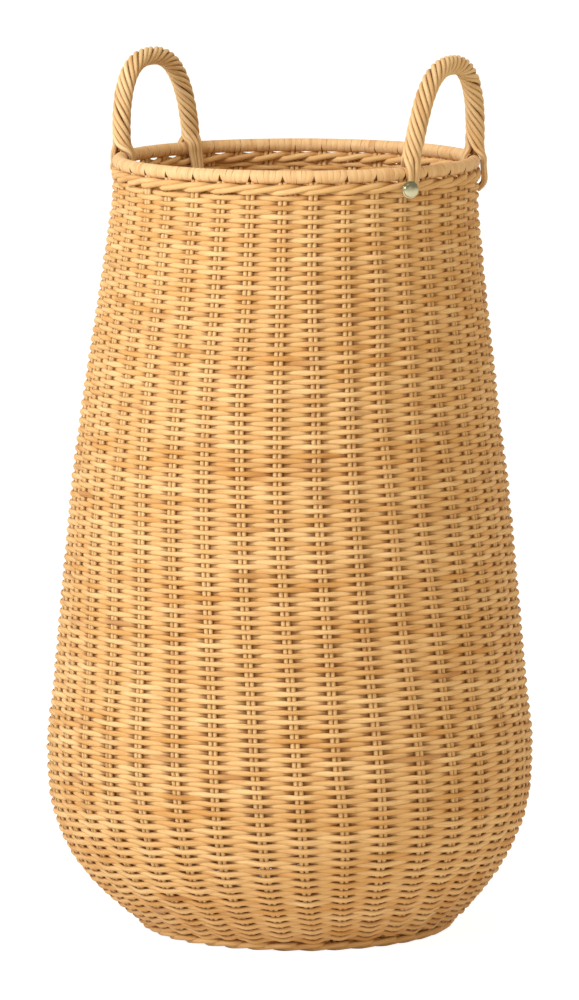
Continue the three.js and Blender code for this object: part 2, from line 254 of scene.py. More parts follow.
def rods_piece(name, rods, sides):
    """One object of many rods, each a closed tube, with its straight coordinates, its tone and
    its painted shade, which is high on its flanks and where it is tucked away, weaker on its inner
    side, and 0 where it lies open."""
    angles = math.tau * np.arange(sides) / sides
    flanks = flank_share * (1 - np.abs(np.cos(angles))) ** flank_power
    flanks = np.where(np.cos(angles) < inner_side, inner_share * flanks, flanks)
    points, straights, tones, shades, faces = [], [], [], [], []
    first = 0
    for piece in rods:
        path = piece["path"]
        count = len(path)
        along = unit(np.gradient(path, axis=0))
        out = unit(piece["out"] - np.sum(piece["out"] * along, axis=1, keepdims=True) * along)
        across = np.cross(along, out)
        rise = piece["radius"][:, None] * piece["flat"] * np.cos(angles)
        reach = (piece["radius"] * piece["wide"])[:, None] * np.sin(angles)
        points.append((path[:, None] + rise[..., None] * out[:, None]
                       + reach[..., None] * across[:, None]).reshape(-1, 3))
        steps = np.linalg.norm(np.diff(path, axis=0), axis=1)
        length = np.concatenate([[0], np.cumsum(steps)]) + grain_shift * piece["tone"][0]
        straight = np.stack([np.repeat(length[:, None], sides, axis=1), rise, reach], axis=-1)
        straights.append(straight.reshape(-1, 3))
        tones.append(np.repeat(piece["tone"], sides))
        # Painted shade where the rod is tucked behind a stake, and along its flanks.
        hidden = np.clip(piece["tucked"], 0, 1)[:, None] * np.clip(np.cos(angles), 0, 1)
        hidden = hidden**tuck_power
        shades.append(np.maximum(hidden, flanks).ravel())
        here = first + np.arange(count - 1)[:, None] * sides + np.arange(sides)
        beside = first + np.arange(count - 1)[:, None] * sides + (np.arange(sides) + 1) % sides
        quads = np.stack([here, beside, beside + sides, here + sides], axis=-1).reshape(-1, 4)
        faces.extend(quads.tolist())
        faces.append(list(range(first + sides - 1, first - 1, -1)))
        faces.append(list(range(first + (count - 1) * sides, first + count * sides)))
        first += count * sides
    mesh = bpy.data.meshes.new(name)
    mesh.from_pydata(np.concatenate(points).tolist(), [], faces)
    mark(mesh, "straight", "FLOAT_VECTOR", np.concatenate(straights))
    mark(mesh, "tone", "FLOAT", np.concatenate(tones))
    mark(mesh, "shade", "FLOAT", np.concatenate(shades))
    made = bpy.data.objects.new(name, mesh)
    bpy.context.scene.collection.objects.link(made)
    deselect_all()
    made.select_set(True)
    bpy.context.view_layer.objects.active = made
    bpy.ops.object.shade_smooth_by_angle(angle=smooth_angle)
    print(name, len(rods), "rods", len(mesh.polygons), "faces")
    return made


# %% [markdown]
# Peeled rattan is straw to honey in colour. Fine pores run along each rod as darker streaks, each
# rod has its own tone, and broad patches of orange and brown come and go along it. The crevices
# between rods are painted deep brown as painted shade. One node group holds that recipe, and each
# material sets its own colours. The grains are noises, much longer along a rod than across it.

# %% Build the rattan group
grains = {
    "streaks": ((55, 1500, 1500), 3, 0.6),
    "pores": ((160, 2600, 2600), 2, 0.6),
    "patches": ((16, 120, 120), 2, 0.55),
    "blushes": ((9, 60, 60), 2, 0.5),
}
patch_share, patch_start = 0.45, -0.1
tone_share = 0.65
blush_share = 0.55
streak_relief, pore_relief = 0.7, 0.3
shade_depth = 0.85


def srgb(red, green, blue):
    """A colour as it is seen on a screen, 0 to 255, for a shader."""
    parts = [value / 255 for value in (red, green, blue)]
    return (*[x / 12.92 if x <= 0.04045 else ((x + 0.055) / 1.055) ** 2.4 for x in parts], 1.0)


def new_group(name, inputs, outputs):
    """An empty shader node group with named sockets."""
    group = bpy.data.node_groups.new(name, "ShaderNodeTree")
    for way, sockets in (("INPUT", inputs), ("OUTPUT", outputs)):
        for label, kind in sockets.items():
            group.interface.new_socket(label, in_out=way, socket_type=f"NodeSocket{kind}")
    return group


def add_node(tree, kind, inputs=None, **settings):
    """A node with its settings, and with its inputs set to a value or linked to a socket."""
    node = tree.nodes.new(kind)
    for label, value in settings.items():
        setattr(node, label, value)
    for label, value in (inputs or {}).items():
        socket = node.inputs[label]
        if isinstance(value, bpy.types.NodeSocket):
            tree.links.new(value, socket)
        else:
            socket.default_value = value
    return node


def add_math(tree, operation, first, second=0.0, clamp=False):
    """What a calculation makes of two values."""
    return add_node(
        tree, "ShaderNodeMath", {0: first, 1: second}, operation=operation, use_clamp=clamp
    ).outputs[0]


def add_noise(tree, vector, stretch, detail=2.0, roughness=0.5):
    """Noise with so many waves to the metre along a rod and across it."""
    scaled = add_node(
        tree, "ShaderNodeVectorMath", {0: vector, 1: stretch}, operation="MULTIPLY"
    ).outputs[0]
    return add_node(
        tree,
        "ShaderNodeTexNoise",
        {"Vector": scaled, "Scale": 1.0, "Detail": detail, "Roughness": roughness},
    ).outputs["Fac"]


def add_mix(tree, share, first, second):
    """A mix of two colours."""
    inputs = {0: share, 6: first, 7: second}
    return add_node(tree, "ShaderNodeMix", inputs, data_type="RGBA").outputs[2]


def add_range(tree, value, low, high, new_low=0.0, new_high=1.0):
    """A value carried smoothly from one range to another."""
    return add_node(
        tree,
        "ShaderNodeMapRange",
        {"Value": value, "From Min": low, "From Max": high, "To Min": new_low, "To Max": new_high},
        interpolation_type="SMOOTHSTEP",
    ).outputs["Result"]


# %% Put the rattan together
# The deep brown of the painted shade in crevices.
painted_shade_brown = srgb(124, 62, 10)
rattan = new_group(
    "rattan_skin",
    {
        "Straight": "Vector", "Tone": "Float", "Shade": "Float", "Pale": "Color",
        "Honey": "Color", "Brown": "Color", "Streaks": "Float",
    },
    {"Colour": "Color", "Roughness": "Float", "Height": "Float"},
)
given = rattan.nodes.new("NodeGroupInput").outputs
streaks, pores, patches, blushes = (
    add_noise(rattan, given["Straight"], *grain) for grain in grains.values()
)
patchy = add_math(rattan, "MULTIPLY_ADD", add_range(rattan, patches, 0.3, 0.7), patch_share)
patchy.node.inputs[2].default_value = patch_start
toned = add_math(rattan, "MULTIPLY", given["Tone"], tone_share)
honey_share = add_math(rattan, "ADD", patchy, toned, clamp=True)
skin = add_mix(rattan, honey_share, given["Pale"], given["Honey"])
for grain, low, high, strength in (
    (blushes, 0.56, 0.74, blush_share),
    (streaks, 0.48, 0.75, given["Streaks"]),
    (pores, 0.62, 0.78, given["Streaks"]),
):
    share = add_math(rattan, "MULTIPLY", add_range(rattan, grain, low, high), strength, clamp=True)
    skin = add_mix(rattan, share, skin, given["Brown"])
# Painted shade: where the shade is high, the colour goes to deep brown.
shade_share = add_math(rattan, "MULTIPLY", given["Shade"], shade_depth, clamp=True)
skin = add_mix(rattan, shade_share, skin, painted_shade_brown)
rough = add_range(rattan, streaks, 0.2, 0.8, 0.48, 0.7)
relief = add_math(
    rattan,
    "SUBTRACT",
    add_math(rattan, "MULTIPLY", streaks, streak_relief),
    add_math(rattan, "MULTIPLY", pores, pore_relief),
)
add_node(rattan, "NodeGroupOutput", {"Colour": skin, "Roughness": rough, "Height": relief})
print("rattan group", len(rattan.nodes), "nodes")

# %% [markdown]
# Weavers, stakes, twisted bands, handles and cane are cut from different parts of the palm, so
# each kind has a pale, a honey and a brown of its own. The hoop and the bows, hidden inside, are
# painted darker and duller, as painted shade where they show through notches and gaps.
# The weavers vary most from rod to rod. The cane keeps some of its natural skin, a thin clear coat.
# Each rattan is named after the slot that it fills, and the last word says what form it has.

# %% Mix a rattan for each kind of rod
grain_bump = 0.25
grain_depth = 0.15 * mm
rod_shine = 0.2
coat_roughness = 0.35
rattans = {
    "weave_rattan_rods": ((248, 212, 156), (220, 168, 100), (158, 92, 38), 0.5),
    "stake_rattan_rods": ((244, 212, 158), (228, 187, 127), (184, 127, 76), 0.35),
    "wale_rattan_rods": ((243, 207, 152), (224, 178, 116), (168, 107, 58), 0.45),
    "base_rattan_rods": ((230, 186, 128), (210, 156, 96), (150, 94, 50), 0.4),
    # Painted shade: the hoop and bows are dark where they show in notches and gaps.
    "hoop_rattan_rods": ((176, 124, 70), (150, 98, 52), (110, 66, 32), 0.4),
    "binding_cane_strips": ((244, 211, 163), (230, 186, 132), (190, 128, 72), 0.35, 0.1),
    "handle_rattan_rods": ((246, 220, 174), (229, 190, 134), (168, 112, 66), 0.45),
}


def rattan_material(name, pale, honey, brown, streaks, coat=0.0):
    """A rattan of its own three colours, with the grain as a fine bump."""
    material = bpy.data.materials.new(name)
    material.use_nodes = True
    tree = material.node_tree
    shader = tree.nodes["Principled BSDF"]
    inputs = {
        "Pale": srgb(*pale), "Honey": srgb(*honey), "Brown": srgb(*brown), "Streaks": streaks,
    }
    for label, output in (("Straight", "Vector"), ("Tone", "Fac"), ("Shade", "Fac")):
        read = add_node(tree, "ShaderNodeAttribute", attribute_name=label.lower())
        inputs[label] = read.outputs[output]
    group = add_node(tree, "ShaderNodeGroup", inputs, node_tree=rattan)
    bumped = add_node(
        tree,
        "ShaderNodeBump",
        {"Strength": grain_bump, "Distance": grain_depth, "Height": group.outputs["Height"]},
    )
    tree.links.new(group.outputs["Colour"], shader.inputs["Base Color"])
    tree.links.new(group.outputs["Roughness"], shader.inputs["Roughness"])
    tree.links.new(bumped.outputs["Normal"], shader.inputs["Normal"])
    shader.inputs["Specular IOR Level"].default_value = rod_shine
    shader.inputs["Coat Weight"].default_value = coat
    shader.inputs["Coat Roughness"].default_value = coat_roughness
    return material


finishes = {}
for name, recipe in rattans.items():
    slot = name.rsplit("_", 1)[0]
    finishes[slot] = rattan_material(name, *recipe)
print(len(finishes), "rattans mixed")

# %% [markdown]
# A basket made by hand isn't quite straight. Seen from the front, this one's foot and rim stand a
# few millimetres to the right of its belly. Every piece is pushed to the side by the same smooth
# table of its height, so that all still fit together. The table's heights are shares of the rim's
# height and its shifts are millimetres. Once a piece leans, it is ready to be handed over.

# %% Say how the basket leans
lean_table = [
    (0, 6.2), (0.03, 4.8), (0.054, 2.2), (0.081, 0.5), (0.108, -0.6), (0.135, -0.3), (0.165, 0),
    (0.676, 0), (0.741, 0.9), (0.82, 2.2), (0.873, 3.0), (0.925, 3.8), (0.962, 5.0), (1.0, 5.5),
]
lean_middle = 2.1
view_right = np.array([math.cos(view_azimuth), math.sin(view_azimuth), 0])
lean_heights = np.arange(0, rim_height, outline_step)
lean_shifts = running_mean(
    np.interp(lean_heights, [share * rim_height for share, shift in lean_table],
              [(shift - lean_middle) * mm for share, shift in lean_table]),
    smoothing_length,
    outline_step,
)


def lean(piece):
    """Pushes a piece to the side by the table."""
    points = np.empty(len(piece.data.vertices) * 3)
    piece.data.vertices.foreach_get("co", points)
    points = points.reshape(-1, 3)
    shift = np.interp(points[:, 2], lean_heights, lean_shifts)
    piece.data.vertices.foreach_set("co", (points + shift[:, None] * view_right).ravel())
    piece.data.update()


print("sideways from", round(lean_shifts.min(), 4), "to", round(lean_shifts.max(), 4))


def hand_over(piece, slot, *nodes):
    """Gives a finished piece its lean, its slot's finish and its body, and hides the nodes that it
    replaces.
    """
    lean(piece)
    piece.data.materials.clear()
    piece.data.materials.append(finishes[slot])
    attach(piece, "root")
    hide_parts(*nodes)


# %% [markdown]
# A stake pair is two rods side by side. Each lies flat in the base, bends up through the foot,
# and follows the wall to the hoop. The path is laid out once, as distances along the outline, and
# turned to each pair's place.

# %% Raise the stakes
stake_step = 7 * mm
stake_start = 98 * mm
pair_gap = 0.1 * mm
stake_swell = (1.04, 1.1)
stake_sides = 8

inner_run = np.arange(stake_start, foot_radius, stake_step)
wall_run = np.arange(stake_step, outline_arc[-1], stake_step)
wall_radius, wall_height, wall_out, wall_up = wall_at(np.append(wall_run, outline_arc[-1]))
stake_radius = np.concatenate([inner_run, wall_radius])
stake_height = np.concatenate([np.full(len(inner_run), base_middle), wall_height])
stake_out = np.concatenate([np.full(len(inner_run), 0.0), wall_out])
stake_up = np.concatenate([np.full(len(inner_run), -1.0), wall_up])


def around(radius, height, azimuth):
    """Points at a radius, a height and an azimuth, or ways out with radial and upright parts."""
    radius, height, azimuth = np.broadcast_arrays(radius, height, azimuth)
    return np.stack([radius * np.cos(azimuth), radius * np.sin(azimuth), height], axis=-1)


for pair in range(stake_pairs):
    azimuth = pair_azimuth(pair, stake_height)
    rods = []
    for side in (-1, 1):
        apart = stake_rod * stake_swell[0] / 2 + pair_gap * chance.uniform(0, 1) / 2
        turned = azimuth + side * apart / stake_radius
        rods.append(rod(
            around(stake_radius, stake_height, turned),
            around(stake_out, stake_up, turned),
            stake_rod / 2 * chance.uniform(*stake_swell),
            chance.uniform(0, 1),
        ))
    number = f"{pair + 1:02d}"
    piece = rods_piece(f"stake_rods_{number}", rods, stake_sides)
    hand_over(piece, "stake_rattan", f"stake_pair_{number}")

# %% [markdown]
# The wall is one long weaver that climbs a row in each turn. It passes over one stake pair and
# under the next. Because the number of pairs is odd, what it passed over in one row it passes
# under in the next, and the weave closes by itself. A cosine makes the path. Raised to a power,
# it keeps the rods nearly level between two pairs and bends them close round each pair, as the
# beaten rows of the real wall are. The rods are pressed a little flat, narrowest right over a
# stake and widest beside it, and the lowest rows lie tightest, so that the wall is nearly closed.
# The rows drift up and down, and each new length of weaver has its own tone and thickness. The
# last rod goes on for part of a turn under the band, so that the top row doesn't end in a step.

# %% Weave the wall
steps_per_bay = 8
weaver_sides = 8
bays_per_weaver = 82
row_jitter = 0.17 * mm
level_drift = 0.9 * mm
reach_jitter = 0.2 * mm
tone_jitter = 0.3
pressed_in = 0.7 * mm
pressed_wide = 1.24
crossing_narrow = 0.24
crossing_power = 4
beside_more = 0.16
tight_below = 80 * mm
tight_more = 0.14
pressed_flat = 0.8
beaten = 1.9
bands = 5
foot_overlap = 1.4 * mm
closing_bays = 24
closing_rise = 1.2 * mm
settled_rows = 2
drift_waves = ((1, 9, 0.4), (2, -14, 2.1), (3, 21, 4.0))
weaver_tone = (0.25, 0.75)
weaver_swell = (0.97, 1.05)

weaver_low = np.interp(weave_low.z, outline_heights, outline_arc) + weaver_rod / 2 - foot_overlap
weaver_high = np.interp(weave_high.z, outline_heights, outline_arc) - weaver_rod / 2
rows = round((weaver_high - weaver_low) / row_pitch)
risen = rows * stake_pairs
crossings = risen + closing_bays
bay = np.arange(crossings * steps_per_bay + 1) / steps_per_bay


def along_drift(count, amount, positions):
    """A smooth random value along a rod, new at every whole position."""
    table = chance.normal(0, amount, count + 3)
    below = np.floor(positions).astype(int)
    blend = soft_step(positions - below)
    return table[below] * (1 - blend) + table[below + 1] * blend


def over_and_under(turns):
    """1 over a stake pair and -1 under the next, and near 0 between them."""
    swing = np.cos(np.pi * turns)
    return np.sign(swing) * np.abs(swing) ** beaten


# %% Lay the weaver's path
climb = weaver_low + (weaver_high - weaver_low) * np.minimum(bay / risen, 1)
climb = climb + closing_rise * np.maximum(bay - risen, 0) / closing_bays
ends = np.clip(np.minimum(bay, risen - bay) / (settled_rows * stake_pairs), 0, 1)
waves = sum(
    level_drift * np.sin(turns * bay * spacing + climb * rise + phase)
    for turns, rise, phase in drift_waves
) / 2
climb = climb + ends * (waves + along_drift(crossings, row_jitter, bay))
radius, height, out, up = wall_at(climb)
azimuth = pair_azimuth(bay, height)
reach = (stake_rod + weaver_rod * pressed_flat) / 2 - pressed_in
reach = reach + along_drift(crossings, reach_jitter, bay)
swing = over_and_under(bay)
offset = reach * swing
weaver_path = around(radius + offset * out, height + offset * up, azimuth)
weaver_out = around(out, up, azimuth)
weaver_number = ((bay + 1) // bays_per_weaver).astype(int)
weaver_tones = chance.uniform(*weaver_tone, weaver_number.max() + 1)
weaver_tones = weaver_tones[weaver_number] + along_drift(crossings, tone_jitter, bay)
weaver_radii = weaver_rod / 2 * chance.uniform(*weaver_swell, weaver_number.max() + 1)
loose = soft_step((height - tight_below) / tight_below)
close = np.abs(swing)
weaver_wide = pressed_wide + tight_more * (1 - loose)
weaver_wide = weaver_wide + beside_more * 4 * close * (1 - close)
weaver_wide = weaver_wide - crossing_narrow * loose * close**crossing_power
print("weaver", len(weaver_path), "places", weaver_number.max() + 1, "lengths")

# %% Skin the weaver in bands
for band in range(bands):
    first = band * crossings // bands // 2 * 2 + 1 if band else 0
    last = (band + 1) * crossings // bands // 2 * 2 + 1 if band < bands - 1 else crossings
    part = slice(first * steps_per_bay, last * steps_per_bay + 1)
    piece = rod(
        weaver_path[part],
        weaver_out[part],
        weaver_radii[weaver_number[part]],
        weaver_tones[part],
        weaver_wide[part],
        pressed_flat,
        -swing[part],
    )
    piece = rods_piece(f"wall_weave_band_{band + 1}", [piece], weaver_sides)
    hand_over(piece, "weave_rattan", "wall_weave")
print("wall", rows, "rows", crossings, "crossings")

# %% [markdown]
# A wale is a band of three rods. Each passes in front of two stake pairs and behind the third,
# and starts a pair after the last, so that they twist round one another like a rope. The same
# path makes the band under the rim and the foot that the basket stands on. The foot's band is
# squeezed lower, and its upper side is flared out, because the wall slopes outwards there.

# %% Twist the wales
wale_steps = 10
wale_rods = 3
wale_wide = 1.2
wale_bias = 0.25
wale_wander = 0.12 * mm
wale_tone = (0.2, 0.9)
wale_sides = 10


def wale_path(start, middle, lift, flare, radius):
    """One rod of a wale that starts at a pair: its path and its ways out."""
    turns = np.arange(stake_pairs * wale_steps + 2 * wale_steps) / wale_steps
    beat = turns * math.tau / wale_rods - math.pi / wale_rods
    outward = np.sin(np.pi / 2 * np.clip((np.cos(beat) + wale_bias) / (1 - wale_bias), -1, 1))
    rise = lift * np.sin(beat)
    offset = (stake_rod + wale_rod) / 2 * outward + flare * rise
    azimuth = pair_azimuth(start + turns, middle)
    wander = along_drift(len(turns) // wale_steps, wale_wander, turns)
    return around(radius + offset, middle + rise + wander, azimuth), around(1, 0, azimuth)


def wale(start, middle, lift, flare, radius):
    """The three rods of a wale. A flare spreads its upper edge, where the wall slopes outwards."""
    made = []
    for number in range(wale_rods):
        path, out = wale_path(start + number, middle, lift, flare, radius)
        made.append(rod(path, out, wale_rod / 2, chance.uniform(*wale_tone), wale_wide))
    return made


# %% Place both bands
top_low, top_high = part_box("top_wale")
wale_lift = 2.4 * mm
foot_lift = 1.7 * mm
foot_flare = 1.7
foot_inside = 1.0 * mm
foot_middle = 4.2 * mm
back_pair = 18
top_middle = (top_low.z + top_high.z) / 2
top_rods = wale(back_pair, top_middle, wale_lift, 0, neck_radius)
hand_over(rods_piece("top_wale_rods", top_rods, wale_sides), "wale_rattan", "top_wale")
foot_rods = wale(back_pair, foot_middle, foot_lift, foot_flare, foot_radius - foot_inside)
hand_over(rods_piece("foot_wale_rods", foot_rods, wale_sides), "wale_rattan", "foot_wale")

# %% [markdown]
# The rim's hoop is one thick rod bent round until its ends meet at the back, where they lap a
# little. It is hidden by the cane, so a plain rod is enough.

# %% Bend the hoop
hoop_lap = 1.004
hoop_places = 190
thick_sides = 16
hoop_turn = np.linspace(0, math.tau * hoop_lap, hoop_places) + back_pair * spacing
hoop_path = around(neck_radius, rim_height, hoop_turn)
hoop = rod(hoop_path, around(1, 0, hoop_turn), hoop_rod / 2, 0.6)
hand_over(rods_piece("rim_hoop_rod", [hoop], thick_sides), "hoop_rattan", "rim_hoop")

# %% [markdown]
# Flat cane is wound round the hoop, a few turns in each bay. One turn is modelled from a cylinder
# without ends: Solidify gives the ring the cane's thickness, and Bevel rounds its edges.

# %% Model one turn of cane
_, binding_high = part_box("rim_binding")
cane_thickness = 1.1 * mm
cane_edge = 0.25 * mm
binding_radius = binding_high.z - rim_height
turns_per_bay = 5
bay_length = neck_radius * spacing
turn_width = bay_length / turns_per_bay
turn_sides = 20

deselect_all()
bpy.ops.mesh.primitive_cylinder_add(
    vertices=turn_sides,
    radius=binding_radius,
    depth=turn_width,
    end_fill_type="NOTHING",
    rotation=(math.pi / 2, 0, 0),
)
cane_turn = bpy.context.object
cane_turn.name = "cane_turn"
bpy.ops.object.transform_apply(location=True, rotation=True, scale=True)
solidify = cane_turn.modifiers.new("thickness", "SOLIDIFY")
solidify.thickness = cane_thickness
solidify.offset = -1
bpy.ops.object.modifier_apply(modifier=solidify.name)
edges = cane_turn.modifiers.new("edges", "BEVEL")
edges.width = cane_edge
edges.segments = 2
edges.angle_limit = math.radians(50)
bpy.ops.object.modifier_apply(modifier=edges.name)
bpy.ops.object.mode_set(mode="EDIT")
bpy.ops.mesh.select_all(action="SELECT")
bpy.ops.mesh.normals_make_consistent(inside=False)
bpy.ops.object.mode_set(mode="OBJECT")
turn_points = np.array([vertex.co for vertex in cane_turn.data.vertices])
print("one turn of cane", len(cane_turn.data.polygons), "faces")

# %% [markdown]
# Where a stake stands, the turns part below and leave a dark notch. So each bay's turns are drawn
# together towards the bottom, more outside than inside. No two turns are equally wide, and each
# lies a little askew. Their edges are given the crevices' shade.

# %% Bind the hoop
notch_half = 1.6 * mm
notch_from = 0.2
notch_deepest = 0.6
inner_notch = 0.3
edge_share = 0.985
cane_tilt = 0.2 * mm
cane_swell = 0.008
cane_tone = (0.3, 0.7)
cane_grain_shift = 9
cane_width = (0.6, 1.4)
cane_smooth = math.radians(25)
rim_azimuths = pair_azimuth(np.arange(stake_pairs + 1), rim_height)


def bound_turn(pair, start, end):
    """A turn of cane between two shares of the way through a bay, on its own mesh."""
    copy = cane_turn.copy()
    copy.data = cane_turn.data.copy()
    bpy.context.scene.collection.objects.link(copy)
    out, along, up = turn_points.T
    span = rim_azimuths[pair + 1] - rim_azimuths[pair]
    low = np.clip((notch_from - up / binding_radius) / (notch_deepest + notch_from), 0, 1)
    low = low * np.where(out > 0, 1, inner_notch)
    placed = start + (along / turn_width + 0.5) * (end - start)
    apart = (1 - 2 * notch_half / (span * neck_radius) * low) * (placed - 0.5) + 0.5
    tilt = chance.normal(0, cane_tilt) * up / binding_radius / neck_radius
    swell = 1 + chance.uniform(-cane_swell, cane_swell)
    azimuth = rim_azimuths[pair] + apart * span + tilt
    copy_points = around(neck_radius + out * swell, rim_height + up * swell, azimuth)
    copy.data.vertices.foreach_set("co", copy_points.ravel())
    wound = np.arctan2(up, out) * binding_radius + chance.uniform(0, cane_grain_shift)
    straight = np.stack([wound, along, np.hypot(out, up)], axis=-1)
    mark(copy.data, "straight", "FLOAT_VECTOR", straight)
    mark(copy.data, "tone", "FLOAT", np.full(len(straight), chance.uniform(*cane_tone)))
    # Painted shade: dark lines along both edges of each turn, where the turns meet.
    on_edge = np.abs(along) > edge_share * turn_width / 2
    mark(copy.data, "shade", "FLOAT", on_edge.astype(float))
    return copy


# %% Wind the cane on
turns = []
for pair in range(stake_pairs):
    edges_at = np.cumsum(chance.uniform(*cane_width, turns_per_bay))
    edges_at = np.concatenate([[0], edges_at / edges_at[-1]])
    turns += [bound_turn(pair, *edges_at[number : number + 2]) for number in range(turns_per_bay)]
bpy.data.objects.remove(cane_turn)
deselect_all()
for turn in turns:
    turn.select_set(True)
binding = turns[0]
bpy.context.view_layer.objects.active = binding
bpy.ops.object.join()
binding.name = "rim_binding_cane"
bpy.ops.object.shade_smooth_by_angle(angle=cane_smooth)
hand_over(binding, "binding_cane", "rim_binding")
print("rim binding", len(turns), "turns", len(binding.data.polygons), "faces")

# %% [markdown]
# A handle has a thick bow inside and eight rods roped round it. The bow's middle line is a
# rounded arch that leans out a little. The two handles aren't quite alike: each has its place and
# half its span in bays, its height, its lean, and the thickness of its rods and its bow. A leg can
# stand a little aside above the rim.

# %% Shape the handles' arches
arch_squareness = 2.5
arch_places = 1200
arch_step = 0.6 * mm
bend_from = 70 * mm
bend_length = 60 * mm
handles = {
    "right_handle": {
        "middle": 0, "half_span": 2.5, "height": 87.2 * mm, "lean": 5.7 * mm,
        "rod": 4.2 * mm, "bow": 8.4 * mm, "aside": (0, -4.8 * mm),
    },
    "left_handle": {
        "middle": 17.78, "half_span": 2.17, "height": 84.2 * mm, "lean": 6.5 * mm,
        "rod": 4.05 * mm, "bow": 8.1 * mm, "aside": (0, 0),
    },
}


def soft_path(points, step):
    """A smooth path through points, with even steps. Columns after the third go along with it."""
    points = np.asarray(points, float)
    steps = np.linalg.norm(np.diff(points[:, :3], axis=0), axis=1)
    length = np.concatenate([[0], np.cumsum(steps)])
    slopes = np.gradient(points, length, axis=0)
    even = np.linspace(0, length[-1], max(3, int(length[-1] / step) + 1))
    index = np.clip(np.searchsorted(length, even, side="right") - 1, 0, len(points) - 2)
    span = (length[index + 1] - length[index])[:, None]
    share = (even - length[index])[:, None] / span
    return (
        points[index] * (1 + 2 * share) * (1 - share) ** 2
        + slopes[index] * span * share * (1 - share) ** 2
        + points[index + 1] * share**2 * (3 - 2 * share)
        + slopes[index + 1] * span * share**2 * (share - 1)
    )


def arch(handle):
    """The middle line of a handle, in even steps, as if the handle stood over +X."""
    leg_angle = handle["half_span"] * spacing
    angle = np.linspace(0, math.pi, arch_places)
    power = 2 / arch_squareness
    across = np.sign(np.cos(angle)) * np.abs(np.cos(angle)) ** power
    up = np.abs(np.sin(angle)) ** power
    line = np.stack([
        neck_radius * math.cos(leg_angle) + handle["lean"] * up,
        neck_radius * math.sin(leg_angle) * across,
        rim_height + handle["height"] * up,
    ], axis=-1)
    bend = np.clip((bend_from - handle["height"] * up) / bend_length, 0, 1) ** 2
    for side, aside in zip((1, -1), handle["aside"]):
        way_across = np.array([-side * math.sin(leg_angle), math.cos(leg_angle), 0])
        line += (bend * (across * side > 0) * aside)[:, None] * way_across
    return soft_path(line, arch_step)


print("handle arches", {name: len(arch(handle)) for name, handle in handles.items()}, "places")

# %% [markdown]
# The rods turn round the bow steadily, each with a little drift of its own. A little above the
# rim they part: four go down outside and four inside, and their ends are tucked into the weave.
# For each leg a table gives how far down the outer ends go and how far every second end lifts off
# the wall. Then come the outer and the inner fan: at each height above the rim's middle, how far
# aside the four ends lie and how close together, in millimetres and as a share. The ends of the
# leg with the stud run askew, down to the stud.

# %% Rope the handles
rope_rods = 8
rope_sides = 12
rope_swell = (0.97, 1.06)
end_pitch = 0.97
end_length = (0.94, 1.03)
lay_places = 7
lay_jitter = 0.07
lay_angle = math.radians(31)
rope_sample = 5
tail_step = 2 * mm
part_rise = 12 * mm
parting_turn = math.radians(42)
stagger = 1.2 * mm
inner_drop = 44 * mm
inner_fan = [(-44, -3.5, 0.82), (-12, -3.0, 0.86), (0, -1.0, 0.96), (9, 0, 1)]
plain_fan = [(-24, 3, 0.85), (-12, 2.5, 0.92), (0, 1, 1), (9, 0, 1)]
legs = {
    ("right_handle", 0): (25 * mm, stagger, plain_fan, inner_fan),
    ("right_handle", 1): (
        18 * mm,
        -1.6 * mm,
        [(-18, -9, 0.62), (-9, -7.5, 0.65), (-4, -6.8, 0.72), (1.5, -6.5, 0.9), (6, -6.4, 1)],
        [(-44, 2, 0.8), (0, 1, 0.8), (9, -2, 0.9)],
    ),
    ("left_handle", 0): (12 * mm, 0, [(-12, -2, 0.8), (0, -1, 0.9), (9, 0, 1)], inner_fan),
    ("left_handle", 1): (
        18 * mm, stagger, plain_fan, [(-44, 0, 0.7), (-12, 0.5, 0.8), (0, 2.2, 0.95), (9, 2, 1)],
    ),
}


# %% Lead the loose ends down
def tail(way_out, way_across, side, slot, rod_size, drop, lifted, fan):
    """Where a loose end goes: past the cane, down over the band, and with its tip into the weave.
    Side is 1 outside the rim and -1 inside."""
    bound = binding_radius + rod_size / 2 + lifted
    woven = wale_half + rod_size / 2 + lifted
    places = [
        (bound + 0.1 * mm, 2.5 * mm),
        (bound + 0.1 * mm, -4 * mm),
        (woven, -9 * mm),
        (woven - 0.4 * mm, -drop * 0.8),
        (woven - 5 * mm, -drop),
    ]
    rises, middles, spreads = np.array(fan).T
    foot = way_out * neck_radius + np.array([0, 0, rim_height])
    made = []
    for reach, rise in places:
        spread = np.interp(rise, rises * mm, spreads)
        across = np.interp(rise, rises * mm, middles * mm) + slot * rod_size * end_pitch * spread
        point = foot + way_out * side * reach + way_across * across + np.array([0, 0, rise])
        made.append([*point, *(way_out * side)])
    return made


